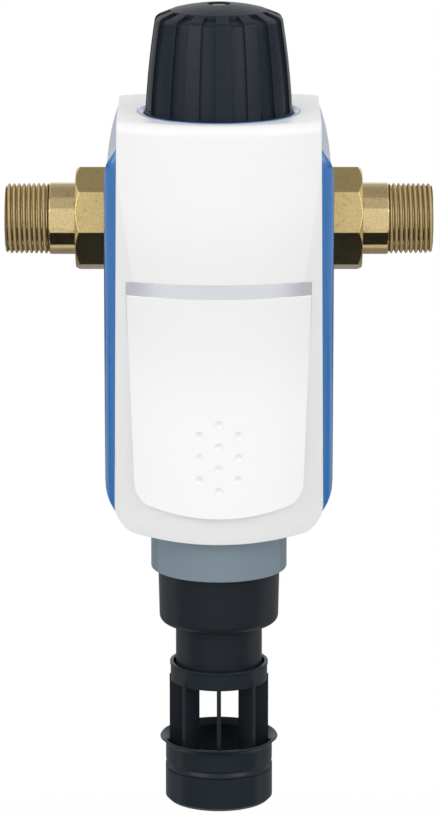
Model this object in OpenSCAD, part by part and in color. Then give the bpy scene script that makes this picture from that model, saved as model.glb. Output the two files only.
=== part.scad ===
// Self-cleaning filter for a domestic water pipe.
// A fluted knob turns a suction rotor inside a mesh element and, by a lifting thread,
// raises a plug that opens the drain. A white saddle cover and a blue rear cover hide
// the filter head, which is bolted to a brass connection module between two unions.
// X runs along the pipe from inlet to outlet, Y from the front to the wall, Z up.
// The origin is the centre of the drain spigot where its straight wall starts. Units: mm.

/* [Pipe connection] */
// Height of the pipe axis above the start of the drain spigot's straight wall
pipe_z = 265; // [261:1:273]
// Distance of the pipe axis behind the spindle axis
pipe_y = 54; // [53:1:58]
// Length over the two pipe threads
pipe_span = 200.2; // [196:0.2:212]
// Major diameter of the pipe thread
thread_d = 33.2; // [31:0.1:33.4]
// Length of the pipe thread
thread_l = 20.3; // [15:0.1:22]
// Bore through the pipe connection
bore_d = 25; // [20:0.5:26]
// Width across the flats of the tailpiece's hexagonal neck
hex_af = 32; // [31:0.1:32.8]
// Width across the flats of the eight-sided union nut
nut_af = 46; // [45.5:0.5:48]
// Length of the union nut
nut_l = 22; // [20:0.5:25]
// Thread diameter of the union
union_d = 41.9; // [40:0.1:42.4]
// Thickness of the collar inside the union
collar_t = 4.5; // [3.5:0.1:5]
// Thickness of the union gasket
union_gasket_t = 2; // [1.5:0.1:3]

/* [Drain] */
// Outside diameter of the drain spigot
spigot_d = 50; // [49:0.1:51]
// Height of the drain spigot's straight wall
spigot_h = 14; // [11:0.5:18]
// Wall of the drain spigot
spigot_wall = 2.4; // [1.8:0.1:3]
// Height of the groove above the spigot
groove_h = 3; // [2:0.5:5]
// Height of the collar between the groove and the lip
drain_collar_h = 9.5; // [7:0.5:12]
// Diameter of the flared lip
lip_d = 55; // [53:0.1:56]
// Height of the air-gap windows
window_h = 27.5; // [22:0.5:32]
// Number of ribs in the air gap
rib_count = 8; // [6:1:9]
// Thickness of an air-gap rib
rib_t = 2; // [1.6:0.1:2.4]
// Radial depth of an air-gap rib
rib_depth = 9.2; // [7:0.1:10]
// Height of the ring at the top of the air gap
cage_ring_h = 8.6; // [7:0.1:11]
// Outside diameter of the ring at the top of the air gap
cage_ring_d = 45.2; // [44.8:0.1:46]

/* [Bowl] */
// Outside diameter of the drain neck
neck_d = 40.2; // [39:0.1:40.6]
// Length of the drain neck that shows above the air gap
neck_show = 19.5; // [15:0.5:24]
// Outside diameter of the cup at the bottom of the bowl
cup_d = 56.4; // [55.4:0.1:57.4]
// Height of the cup
cup_h = 26.5; // [25:0.5:30]
// Outside diameter of the bowl's tube
tube_d = 60; // [59.4:0.1:60.6]
// Wall of the bowl's tube
tube_wall = 3; // [2.5:0.1:3.4]
// Thickness of the grey label ring
label_t = 1.5; // [1:0.1:2]
// Height of the grey label ring
label_h = 40; // [30:1:50]

/* [Covers] */
// Height of the top deck above the pipe axis
deck_rise = 60; // [58:0.5:64]
// Height of the white cover
cover_h = 194.5; // [188:0.5:196]
// Width of the white cover at the top
cover_w_top = 92; // [90:0.5:94]
// Width of the white cover at the bottom
cover_w_bottom = 95.6; // [94:0.5:97]
// Distance from the spindle axis to the middle of the front face
front_reach = 44; // [43:0.5:47]
// Radius of the front face seen from above
front_r = 90; // [80:1:110]
// Distance from the spindle axis to the middle of the rear edge
rear_reach = 54; // [50:0.5:58]
// Wall of the covers
wall = 2.2; // [1.8:0.1:2.6]
// Width of the blue rear cover
rear_w = 104.8; // [104:0.2:108]
// Radius of the bottom corners of the blue rear cover
rear_corner_r = 22; // [16:1:26]
// Diameter of the knob's opening in the deck
deck_hole_d = 74; // [72:0.5:75]
// Height of the silver strip
strip_h = 6.5; // [5:0.5:8]
// Width of the silver strip and of the top of the front panel
strip_w = 83.4; // [80:0.2:84]
// Distance from the deck down to the top of the silver strip
strip_drop = 72.5; // [68:0.5:80]
// Height of the front panel below the strip
panel_h = 101.5; // [94:0.5:102]
// Width of the front panel near its lower corners
panel_w = 77; // [72:0.5:79]
// Thickness of the front panel
panel_t = 2; // [1.6:0.1:2.4]
// Diameter of a finger dimple
dimple_d = 4; // [3:0.1:5]

/* [Knob] */
// Height of the knob's top above the deck
knob_rise = 49.2; // [46:0.2:52]
// Diameter of the knob's bottom lip
knob_lip_d = 67.8; // [67.4:0.2:69]
// Diameter of the knob's body at its bottom
knob_base_d = 67; // [65:0.2:67.4]
// Diameter of the knob's body at its shoulder
knob_top_d = 58.4; // [56:0.2:60]
// Number of grip ribs
knob_ribs = 14; // [10:1:16]
// Depth of the grooves between the grip ribs
knob_groove = 1.2; // [0.8:0.1:1.8]
// Share of the pitch that a grip rib takes up
knob_rib_share = 0.5; // [0.35:0.01:0.6]
// Travel of the knob between its stops, in degrees
knob_travel = 270; // [200:5:280]

/* [Filter works] */
// Diameter of the spindle
spindle_d = 12; // [11:0.5:13]
// Outside diameter of the filter head
head_d = 66; // [65:0.5:66.5]
// Outside diameter of the mesh sleeve
mesh_d = 38; // [37.5:0.1:38.5]
// Thickness of the mesh sleeve
mesh_t = 0.6; // [0.4:0.1:0.8]
// Number of suction nozzles along the rotor
nozzle_count = 5; // [4:1:6]
// Lift of the drain plug in one full turn of the knob
plug_lead = 10; // [8:0.5:10]

/* [Hidden] */
$fn = 96;

// Clearances: a running fit, a gap between plain neighbours and an overshoot for cuts
run = 0.1;
gap = 0.1;
over = 5;
// Cross-section radius of the sealing rings
seal_r = 0.95;

// Levels of the drain, counted up from its lower end
z_groove = spigot_h;
z_collar = z_groove + groove_h;
lip_h = 2.5;
z_lip = z_collar + drain_collar_h + lip_h;
z_ring = z_lip + window_h;
z_ring_top = z_ring + cage_ring_h;
neck_seat = 2;
z_neck = z_ring + neck_seat;
z_cup = z_ring_top + neck_show;
z_tube = z_cup + cup_h;

// Levels of the bowl and of the mesh element
floor_t = 4;
z_floor = z_cup + floor_t;
plate_t = 5;
z_plate = z_tube - 2.5;
z_mesh = z_plate + plate_t;
drain_bore_r = neck_d / 2 - 4.5;
cup_r = cup_d / 2;
chamber_r = cup_r - 6.7;
tube_r = tube_d / 2;
tube_bore_r = tube_r - tube_wall;

// Levels of the filter head, counted from the pipe axis
head_r = head_d / 2;
z_skirt = pipe_z - 46;
z_core = pipe_z - 34;
z_shoulder = pipe_z + 22;
z_head_top = pipe_z + 34;
bowl_flange_t = 4;
lock_lip_t = 4;
lock_over = 16;
lock_r = head_r + 3.5;
core_bore_r = 15;
core_r = core_bore_r + 4;
annulus_r = head_r - 4;
port_x = 11.5;
port_half = 7;
port_wall = 3;

// Levels of the covers and the knob
deck_z = pipe_z + deck_rise;
cover_z = deck_z - cover_h;
front_y = -front_reach;
z_shelf = deck_z - wall - gap;
z_seat = z_shelf - wall;
split_y = -19;
rear_low = cover_z + 3;
shelf_r = deck_hole_d / 2 + 1.5;
bowl_hole_r = tube_r + label_t + 1.5;
bonnet_neck_r = 24;
z_bonnet_top = z_shelf + 7.5;
z_knob = deck_z - 1.2;
z_knob_top = deck_z + knob_rise;
z_strip = deck_z - strip_drop - strip_h;
z_panel = z_strip - panel_h;

// Connection along X: the flange follows the head, the nut stands clear of the flange,
// and the tailpiece's neck takes up what is left of the span
bolt_x = head_r + 1.8;
bolt_land = 7;
flange_half_w = bolt_x + bolt_land;
nut_clear = 3.2;
x_nut_in = flange_half_w + nut_clear;
x_nut = x_nut_in + nut_l;
x_end = pipe_span / 2;
x_thread = x_end - thread_l;
x_shoulder = x_nut - collar_t;
x_collar = x_shoulder - collar_t;
x_module = x_collar - union_gasket_t;
neck_r = thread_d / 2 + 0.2;
nut_r = nut_af / 2 / cos(180 / 8);
bore_r = bore_d / 2;
union_r = union_d / 2;
module_r = bore_r + 5.5;
gasket_t = 1;
flange_y = head_r + gasket_t;
flange_t = 8;
flange_half_h = 22;
bolt_z = flange_half_h - bolt_land;
bolt_r = 3;
bolt_head_r = 5;
bolt_head_h = 6;
washer_r = 6;
washer_t = 1.2;

// Inner works
spindle_r = spindle_d / 2;
square = spindle_d * 0.7;
mesh_r = mesh_d / 2;
mesh_bore_r = mesh_r - mesh_t;
support_t = 1.5;
support_r = mesh_r + gap + support_t;
spigot_bore_r = spigot_d / 2 - spigot_wall;
rotor_r = 8;
rotor_bore_r = 5.5;
stem_r = 4.6;
stem_bore_r = 3;
plug_r = 16;
plug_t = 4;
plug_seal_t = 2.5;
seat_t = 3;
seat_lip = 1.5;
seat_bore_r = 9;
z_seal = z_floor + seat_t + seat_lip;
z_plug = z_seal + plug_seal_t;
pin_x = 13;
pin_r = 1.5;
plug_lift = plug_lead * knob_travel / 360;

function arc(cx, cy, r, from, to, steps = 8) =
    [for (i = [0 : steps]) let (a = from + (to - from) * i / steps)
        [cx + r * cos(a), cy + r * sin(a)]];

// A plain ring about the spindle axis
module tube(r_out, r_in, z0, z1) {
    translate([0, 0, z0]) difference() {
        cylinder(r = r_out, h = z1 - z0);
        translate([0, 0, -over]) cylinder(r = r_in, h = z1 - z0 + 2 * over);
    }
}

// A round rod along the pipe axis
module pipe_rod(r, x0, x1) {
    translate([x0, pipe_y, pipe_z]) rotate([0, 90, 0]) cylinder(r = r, h = x1 - x0);
}

// A square rod along Y at the height of the pipe axis, for the moulded ports
module port_rod(x, half, y0, y1) {
    translate([x - half, y0, pipe_z - half]) cube([2 * half, y1 - y0, 2 * half]);
}

// A sealing ring about the spindle axis
module seal_ring(r, z) {
    translate([0, 0, z]) rotate_extrude() translate([r, 0]) circle(r = seal_r, $fn = 24);
}

// Everything on one side of the pipe is built for the outlet and mirrored for the inlet
module at_side(side) {
    if (side > 0) children();
    else mirror([1, 0, 0]) children();
}

// Copies its children to the four flange bolts
module at_bolts() {
    for (x = [-bolt_x, bolt_x], z = [-bolt_z, bolt_z])
        translate([x, 0, z]) children();
}

// Outline of the white cover seen from the front, drawn in X and Z
module cover_outline(inset) {
    half_top = cover_w_top / 2 - inset;
    half_low = cover_w_bottom / 2 - inset;
    corner_r = 13 - inset;
    corner_x = half_low - corner_r;
    chin_r = 210;
    chin_rise = chin_r - sqrt(chin_r * chin_r - corner_x * corner_x);
    corner_z = cover_z + inset + chin_rise + corner_r;
    intersection() {
        polygon([[-half_low, cover_z - over], [half_low, cover_z - over],
                 [half_low, corner_z], [half_top, deck_z + over],
                 [-half_top, deck_z + over], [-half_low, corner_z]]);
        translate([0, cover_z + inset + chin_r]) circle(r = chin_r, $fn = 200);
        union() {
            translate([-rear_w, corner_z]) square([2 * rear_w, cover_h]);
            translate([-corner_x, cover_z - over]) square([2 * corner_x, cover_h]);
            for (s = [-1, 1]) translate([s * corner_x, corner_z]) circle(r = corner_r);
        }
    }
}

// Body of revolution whose rim is the front face: rounded into the deck, rolled in at the chin
module cover_round(inset) {
    r = front_r - inset;
    edge_r = 5 - min(inset, 4);
    chin_r = 120;
    chin_start = 40;
    top = deck_z - min(inset, wall);
    translate([0, front_y + front_r, 0]) rotate_extrude($fn = 200)
        polygon(concat(
            [[0, cover_z - over], [r - chin_r + sqrt(chin_r * chin_r
                - pow(chin_start + over, 2)), cover_z - over]],
            arc(r - chin_r, cover_z + chin_start, chin_r,
                -asin((chin_start + over) / chin_r), 0, 10),
            arc(r - edge_r, top - edge_r, edge_r, 0, 90, 6),
            [[0, top]]));
}

// Leaning cylinder that makes the sides of the white cover fall away towards the bottom
module cover_lean(inset) {
    lean_r = 66 - inset;
    lean = 2.6;
    meet_z = cover_z + 41;
    translate([0, front_y + inset + lean_r, meet_z]) rotate([lean, 0, 0])
        translate([0, 0, -cover_h]) cylinder(r = lean_r, h = 2.4 * cover_h, $fn = 200);
}

// Solid form of the white cover, from the front face to the rear edge of the deck
module cover_form(inset, front_inset) {
    rear_r = 100;
    intersection() {
        cover_round(front_inset);
        union() {
            cover_lean(front_inset);
            translate([-rear_w, split_y - over, cover_z - over])
                cube([2 * rear_w, 2 * rear_reach + over, cover_h + 2 * over]);
        }
        translate([0, 2 * rear_reach, 0]) rotate([90, 0, 0])
            linear_extrude(4 * rear_reach) cover_outline(inset);
        translate([0, rear_reach - rear_r, cover_z - over])
            cylinder(r = rear_r - inset, h = cover_h + 2 * over, $fn = 200);
    }
}

// Outline of the front panel, with the strip above it when strip is true
module panel_outline(strip, grow = 0) {
    half_top = strip_w / 2 + grow;
    half_low = panel_w / 2 + grow;
    corner_r = 12 + grow;
    chin_r = 105;
    corner_x = half_low - corner_r;
    low = z_panel - grow;
    corner_z = low + chin_r - sqrt(chin_r * chin_r - corner_x * corner_x) + corner_r;
    top = strip ? z_strip + strip_h + grow : z_strip;
    intersection() {
        polygon([[-half_low, low - over], [half_low, low - over], [half_low, corner_z],
                 [half_top, z_strip], [half_top, top], [-half_top, top],
                 [-half_top, z_strip], [-half_low, corner_z]]);
        translate([0, low + chin_r]) union() {
            circle(r = chin_r, $fn = 200);
            translate([-chin_r, 0]) square([2 * chin_r, 2 * chin_r]);
        }
        union() {
            translate([-rear_w, corner_z]) square([2 * rear_w, cover_h]);
            translate([-corner_x, low - over]) square([2 * corner_x, cover_h]);
            for (s = [-1, 1]) translate([s * corner_x, corner_z]) circle(r = corner_r);
        }
    }
}

// Layer of the front face between two depths, over the panel or the strip
module face_layer(depth0, depth1) {
    intersection() {
        translate([0, split_y, 0]) rotate([90, 0, 0]) linear_extrude(front_reach)
            children();
        translate([0, front_y + front_r, 0])
            tube(front_r - depth0, front_r - depth1, cover_z - over, deck_z);
    }
}

module front_cover() {
    front_wall = wall + panel_t + gap;
    color("white") difference() {
        cover_form(0, 0);
        cover_form(wall, front_wall);
        translate([-rear_w, split_y, cover_z - over])
            cube([2 * rear_w, 3 * rear_reach, cover_h + over - wall]);
        translate([0, 0, deck_z - cover_h / 2]) cylinder(d = deck_hole_d, h = cover_h);
        translate([0, 0, cover_z - over]) cylinder(r = bowl_hole_r, h = 6 * over);
        face_layer(-over, panel_t + gap) panel_outline(true, gap);
    }
}

module front_panel() {
    dimple_r = 2.8;
    dimple_deep = dimple_r - sqrt(dimple_r * dimple_r - dimple_d * dimple_d / 4);
    column = 9;
    row = 10.3;
    first_z = z_panel + 13;
    color("whitesmoke") difference() {
        face_layer(0, panel_t) panel_outline(false);
        for (c = [-1 : 1], i = [0 : 3 - abs(c)]) {
            x = c * column;
            y = front_y + front_r - sqrt(front_r * front_r - x * x);
            translate([x, y - dimple_r + dimple_deep,
                       first_z + i * row + abs(c) * row / 2])
                sphere(r = dimple_r, $fn = 32);
        }
    }
}

module trim_strip() {
    sunk = 0.5;
    color("silver") face_layer(sunk, panel_t) intersection() {
        panel_outline(true);
        translate([-strip_w, z_strip + gap]) square([2 * strip_w, strip_h]);
    }
}

// Mirrors the right half of an outline, listed from its first to its last point
function both_halves(right) = concat(right,
    [for (i = [len(right) - 1 : -1 : 0]) [-right[i][0], right[i][1]]]);

// Outline of the blue cover seen from the front, drawn in X and Z
module rear_outline(inset) {
    half = rear_w / 2 - inset;
    top = z_shelf - inset;
    taper = (rear_w - cover_w_top) / 2;
    rise = 34;
    side_r = (rise * rise + taper * taper) / (2 * taper);
    low = rear_low + inset;
    corner_r = rear_corner_r - inset;
    polygon(both_halves(concat(
        arc(half - corner_r, low + corner_r, corner_r, -90, 0, 10),
        arc(half - side_r, top - rise, side_r, 0, asin(rise / side_r), 10))));
}

// Outline of the blue cover seen from above: rounded in towards the white cover and at the rear
module rear_plan(inset) {
    half = rear_w / 2;
    edge_r = 7;
    back_r = 10;
    rear_r = 100;
    rear_c = rear_reach - wall - rear_r;
    back_x = half - back_r;
    back_y = rear_c + sqrt(pow(rear_r - back_r, 2) - back_x * back_x);
    turn = atan2(back_y - rear_c, back_x);
    mouth = cover_w_top / 2 - wall - 2;
    front = inset > 0 ? [[mouth, split_y - over], [mouth, split_y + inset]] : [];
    polygon(both_halves(concat(front,
        arc(half - edge_r, split_y + edge_r, edge_r - inset, -90, 0, 8),
        arc(back_x, back_y, back_r - inset, 0, turn, 6),
        arc(0, rear_c, rear_r - inset, turn + 2, 88, 6))));
}

module rear_form(inset) {
    intersection() {
        translate([0, 2 * rear_reach, 0]) rotate([90, 0, 0])
            linear_extrude(4 * rear_reach) rear_outline(inset);
        translate([0, 0, cover_z - over]) linear_extrude(cover_h + over) rear_plan(inset);
    }
}

module rear_cover() {
    slot_r = nut_r + 1.5;
    color("steelblue") difference() {
        union() {
            difference() {
                rear_form(0);
                rear_form(wall);
                translate([-rear_w, split_y - 4 * over, cover_z - over])
                    cube([2 * rear_w, 4 * over + gap, cover_h + 2 * over]);
            }
            translate([0, 0, z_seat]) cylinder(r = shelf_r, h = wall);
        }
        translate([0, 0, z_seat - over]) cylinder(r = bonnet_neck_r + gap, h = 3 * over);
        translate([0, 0, cover_z - over]) cylinder(r = bowl_hole_r, h = 3 * over);
        pipe_rod(slot_r, -rear_w, rear_w);
        translate([-rear_w, pipe_y, pipe_z - slot_r]) cube([2 * rear_w, rear_w, 2 * slot_r]);
    }
}

module cover_nut() {
    nut_h = 4.5;
    notch_r = 2;
    ring_r = bonnet_neck_r + 4.5;
    color("dimgray") difference() {
        tube(ring_r, bonnet_neck_r + gap, z_shelf, z_shelf + nut_h);
        for (a = [0 : 60 : 300]) rotate(a) translate([ring_r + notch_r / 2, 0, z_shelf - over])
            cylinder(r = notch_r, h = 3 * over);
    }
}

// Profile of the knob's skin: bulged cone, rounded shoulder, sloping top and low dome
function knob_skin(inset) = let (
    base_r = knob_base_d / 2 - inset,
    top_r = knob_top_d / 2 - inset,
    ease_r = 3,
    side_z = z_knob_top - 8 - inset * 0.6,
    bulge = 0.6,
    dome_r = top_r - 8)
    concat([for (t = [0 : 0.2 : 1]) [base_r + (top_r - base_r) * t + 4 * bulge * t * (1 - t),
                                     z_knob + (side_z - z_knob) * t]],
           arc(top_r - ease_r, side_z, ease_r, 15, 60, 4),
           [for (t = [1 : -0.2 : 0]) [dome_r * t, z_knob_top - inset - 2.8 * t * t]]);

module knob() {
    shell_t = 3;
    pitch = 360 / knob_ribs;
    groove_a = pitch * (1 - knob_rib_share);
    rib_turn = -86.2 + pitch * knob_rib_share / 2;
    recess_r = 5.35;
    hub_r = 9.5;
    fin_t = 3;
    fin_r = 23;
    stop_a = 11;
    lip_h = 1.6;
    color("#262d33") difference() {
        union() {
            difference() {
                rotate_extrude($fn = 128) polygon(concat([[0, z_knob]], knob_skin(0)));
                rotate_extrude($fn = 128) polygon(concat([[0, z_knob - over],
                    [knob_base_d / 2 - shell_t, z_knob - over]], knob_skin(shell_t)));
                for (i = [0 : knob_ribs - 1]) rotate(rib_turn + i * pitch)
                    rotate_extrude(angle = groove_a, $fn = 128) intersection() {
                        difference() {
                            translate([0, z_knob]) square([knob_lip_d, knob_rise]);
                            polygon(concat([[0, z_knob]], knob_skin(knob_groove)));
                        }
                        translate([knob_top_d / 2 - 7.4, z_knob + lip_h])
                            square([knob_lip_d, knob_rise]);
                    }
            }
            tube(knob_lip_d / 2, knob_base_d / 2 - shell_t, z_knob, z_knob + lip_h);
            translate([0, 0, z_bonnet_top + 4])
                cylinder(r = hub_r, h = z_knob_top - 2 - z_bonnet_top - 4);
            for (a = [90 + stop_a, 450 - knob_travel - stop_a]) rotate(a)
                translate([hub_r - 1, -fin_t / 2, z_bonnet_top + 2.5])
                    cube([fin_r - hub_r + 1, fin_t, z_knob_top - 6 - z_bonnet_top - 2.5]);
        }
        translate([0, 0, z_knob_top - 8]) cylinder(r = recess_r, h = 4 * over);
        translate([0, 0, z_bonnet_top]) cylinder(r = 2.6, h = knob_rise);
        translate([-square / 2 - run, -square / 2 - run, z_bonnet_top])
            cube([square + 2 * run, square + 2 * run, z_knob_top - 12 - z_bonnet_top]);
    }
}

module knob_screw() {
    head_h = 4;
    color("#8a6f5a") translate([0, 0, z_knob_top - 8]) difference() {
        union() {
            cylinder(r = 4.6, h = head_h);
            translate([0, 0, -18]) cylinder(r = 2.5, h = 18);
        }
        translate([0, 0, head_h - 2.2]) cylinder(r = 2.3, h = over, $fn = 6);
    }
}

module spindle() {
    z_low = z_core - 7;
    z_top = z_knob_top - 12.2;
    collar_r = spindle_r + 2.5;
    color("#b9a05a") difference() {
        union() {
            translate([-square / 2, -square / 2, z_low]) cube([square, square, z_top - z_low]);
            translate([0, 0, z_core + 6.2])
                cylinder(r = spindle_r, h = z_bonnet_top + 3 - z_core - 6.2);
            translate([0, 0, z_shoulder - 3]) cylinder(r = collar_r, h = 3 - gap);
        }
        translate([0, 0, z_top - 16]) cylinder(r = 2.6, h = 20);
    }
}

module stop_pin() {
    color("silver") translate([0, 19, z_bonnet_top - 6]) cylinder(r = 2, h = 15);
}

module bonnet() {
    thread_r = annulus_r - 1;
    seal_gap = seal_r + gap;
    color("#3a4046") difference() {
        union() {
            translate([0, 0, z_shoulder]) cylinder(r = thread_r - gap, h = z_head_top - z_shoulder);
            translate([0, 0, z_head_top]) cylinder(r = head_r - 2, h = z_seat - z_head_top);
            translate([0, 0, z_seat]) cylinder(r = bonnet_neck_r, h = z_bonnet_top - z_seat);
        }
        translate([0, 0, z_shoulder - over])
            cylinder(r = spindle_r + run, h = z_bonnet_top - z_shoulder + 2 * over);
        for (z = spindle_seal_levels) tube(spindle_r + run + 2 * seal_r + 2 * gap, 1,
                                           z - seal_gap, z + seal_gap);
        translate([0, 19, z_bonnet_top - 6]) cylinder(r = 2 + gap, h = 4 * over);
    }
}
spindle_seal_levels = [z_head_top + 2, z_head_top + 10];

module bonnet_seal() {
    color("#202020") seal_ring(core_r + 2, z_shoulder - seal_r - gap / 2);
}

module spindle_seals() {
    color("#202020") for (z = spindle_seal_levels) seal_ring(spindle_r + run + seal_r + gap / 2, z);
}

module filter_head() {
    thread_r = annulus_r - 1;
    ring_cut = seal_r + gap;
    color("#3a4046") difference() {
        union() {
            translate([0, 0, z_skirt]) cylinder(r = head_r, h = z_head_top - z_skirt);
            translate([-flange_half_w, flange_y - gasket_t - flange_t, pipe_z - flange_half_h])
                cube([2 * flange_half_w, flange_t, 2 * flange_half_h]);
        }
        difference() {
            tube(annulus_r, core_r, z_skirt - over, pipe_z + 14);
            port_rod(-port_x, port_half + port_wall, 0, flange_y);
        }
        translate([0, 0, z_skirt - over]) cylinder(r = core_r + gap, h = z_core - z_skirt + over);
        translate([0, 0, z_core - over]) cylinder(r = core_bore_r, h = z_head_top - z_core);
        translate([0, 0, z_shoulder]) cylinder(r = thread_r, h = z_head_top);
        port_rod(-port_x, port_half, 0, flange_y);
        port_rod(port_x, port_half, core_r, flange_y);
        translate([0, 0, pipe_z]) at_bolts()
            translate([0, flange_y, 0]) rotate([90, 0, 0]) cylinder(r = bolt_r + 0.3, h = 4 * over);
        tube(core_r + 2 + ring_cut, core_r + 2 - ring_cut, z_shoulder - 2 * ring_cut, z_shoulder + over);
        tube(bowl_seal_r + ring_cut, bowl_seal_r - ring_cut, z_skirt - over, z_skirt + 2 * ring_cut);
    }
}
bowl_seal_r = (annulus_r + head_r) / 2;

module flange_gasket() {
    color("#202020") difference() {
        translate([-flange_half_w, flange_y - gasket_t, pipe_z - flange_half_h])
            cube([2 * flange_half_w, gasket_t, 2 * flange_half_h]);
        for (s = [-1, 1]) port_rod(s * port_x, port_half, 0, flange_y + over);
        translate([0, 0, pipe_z]) at_bolts()
            translate([0, flange_y + over, 0]) rotate([90, 0, 0])
                cylinder(r = bolt_r + 0.3, h = 4 * over);
    }
}

module flange_bolts() {
    face = flange_y - gasket_t - flange_t - washer_t;
    color("silver") translate([0, 0, pipe_z]) at_bolts()
        translate([0, face, 0]) rotate([-90, 0, 0]) difference() {
            union() {
                translate([0, 0, -bolt_head_h]) cylinder(r = bolt_head_r, h = bolt_head_h);
                cylinder(r = bolt_r, h = washer_t + flange_t + gasket_t + flange_t - 1);
            }
            translate([0, 0, -bolt_head_h - over]) cylinder(r = 2.9, h = over + 3, $fn = 6);
        }
}

module flange_washers() {
    face = flange_y - gasket_t - flange_t;
    color("silver") translate([0, 0, pipe_z]) at_bolts()
        translate([0, face, 0]) rotate([90, 0, 0]) difference() {
            cylinder(r = washer_r, h = washer_t);
            translate([0, 0, -over]) cylinder(r = bolt_r + 0.3, h = 3 * over);
        }
}

module connection_module() {
    block_w = port_x + port_half + 6;
    block_half_h = module_r - 3;
    color("#b08d4a") difference() {
        union() {
            pipe_rod(module_r, -x_module, x_module);
            for (s = [-1, 1]) at_side(s) pipe_rod(union_r, x_nut_in - nut_clear + 0.7, x_module);
            translate([-flange_half_w, flange_y, pipe_z - flange_half_h])
                cube([2 * flange_half_w, flange_t, 2 * flange_half_h]);
            translate([-block_w, flange_y, pipe_z - block_half_h])
                cube([2 * block_w, pipe_y - flange_y, 2 * block_half_h]);
        }
        for (s = [-1, 1]) at_side(s) {
            pipe_rod(bore_r, port_x - port_half - 1, x_module + over);
            port_rod(port_x, port_half, flange_y - over, pipe_y);
        }
        translate([0, 0, pipe_z]) at_bolts()
            translate([0, flange_y + flange_t - 0.7, 0]) rotate([90, 0, 0])
                cylinder(r = bolt_r + gap / 2, h = flange_t + over);
    }
}

module union_gasket(side) {
    color("#3a3a38") at_side(side) difference() {
        pipe_rod(union_r - 0.8, x_module, x_collar);
        pipe_rod(bore_r, x_module - over, x_collar + over);
    }
}
module union_gasket_inlet() { union_gasket(-1); }
module union_gasket_outlet() { union_gasket(1); }

// Tailpiece: collar inside the nut, hexagonal neck with rounded corners, pipe thread
module tailpiece(side) {
    chamfer = 1.4;
    color("#b5924c") at_side(side) difference() {
        union() {
            pipe_rod(union_r - 1, x_collar, x_shoulder);
            intersection() {
                pipe_rod(neck_r, x_shoulder - 1, x_thread);
                translate([x_shoulder - 1, pipe_y, pipe_z]) rotate([0, 90, 0]) rotate(6)
                    cylinder(r = hex_af / 2 / cos(30), h = x_thread - x_shoulder + 1, $fn = 6);
            }
            pipe_rod(thread_d / 2, x_thread, x_end - chamfer);
            translate([x_end - chamfer, pipe_y, pipe_z]) rotate([0, 90, 0])
                cylinder(r1 = thread_d / 2, r2 = thread_d / 2 - chamfer, h = chamfer);
        }
        pipe_rod(bore_r, x_collar - over, x_end + over);
    }
}
module tailpiece_inlet() { tailpiece(-1); }
module tailpiece_outlet() { tailpiece(1); }

// Union nut: eight-sided, its corners turned off at the outer end
module union_nut(side) {
    bevel = 3;
    color("#ad8a45") at_side(side) difference() {
        intersection() {
            translate([x_nut_in, pipe_y, pipe_z]) rotate([0, 90, 0]) rotate(5)
                cylinder(r = nut_r, h = nut_l, $fn = 8);
            union() {
                pipe_rod(nut_r + 1, x_nut_in - 1, x_nut - bevel);
                translate([x_nut - bevel, pipe_y, pipe_z]) rotate([0, 90, 0])
                    cylinder(r1 = nut_r + 1, r2 = nut_af / 2 - 0.2, h = bevel);
            }
        }
        pipe_rod(union_r + gap, x_nut_in - over, x_shoulder);
        pipe_rod(neck_r + 0.3, x_nut_in, x_nut + over);
    }
}
module union_nut_inlet() { union_nut(-1); }
module union_nut_outlet() { union_nut(1); }

// Ring that screws onto the head and clamps the bowl's flange from below
module lock_ring() {
    grip_r = 3;
    z_low = z_skirt - bowl_flange_t - lock_lip_t;
    color("#30363b") difference() {
        tube(lock_r, tube_r + 0.3, z_low, z_skirt + lock_over);
        translate([0, 0, z_skirt - bowl_flange_t]) cylinder(r = head_r + gap, h = 10 * over);
        for (a = [15 : 30 : 345]) rotate(a)
            translate([lock_r + grip_r / 2, 0, z_low - over]) cylinder(r = grip_r, h = 10 * over);
    }
}

module bowl_seal() {
    color("#202020") seal_ring(bowl_seal_r, z_skirt + seal_r + gap / 2);
}

// Bowl: tube, cup with a rounded foot, and drain neck
module filter_bowl() {
    foot_r = 3.5;
    draft = 0.5;
    neck_blend = 1.5;
    color("#262d33") rotate_extrude() polygon(concat(
        [[drain_bore_r, z_neck], [neck_d / 2, z_neck]],
        arc(neck_d / 2 + neck_blend, z_cup - neck_blend, neck_blend, 180, 90, 4),
        arc(cup_r - draft - foot_r, z_cup + foot_r, foot_r, -90, 0, 8),
        [[cup_r, z_tube], [tube_r, z_tube], [tube_r, z_skirt - bowl_flange_t],
         [head_r, z_skirt - bowl_flange_t], [head_r, z_skirt], [tube_bore_r, z_skirt],
         [tube_bore_r, z_mesh + 3], [cup_r - 3.7, z_mesh + 1], [cup_r - 3.7, z_plate],
         [chamber_r, z_plate], [chamber_r, z_floor], [drain_bore_r, z_floor]]));
}

module label_ring() {
    edge = 0.6;
    r = tube_r + label_t;
    color("#8fa1ad") rotate_extrude() polygon(concat(
        [[tube_r + gap / 2, z_tube]], arc(r - edge, z_tube + edge, edge, -90, 0, 4),
        [[r, z_tube + label_h], [tube_r + gap / 2, z_tube + label_h]]));
}

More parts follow.
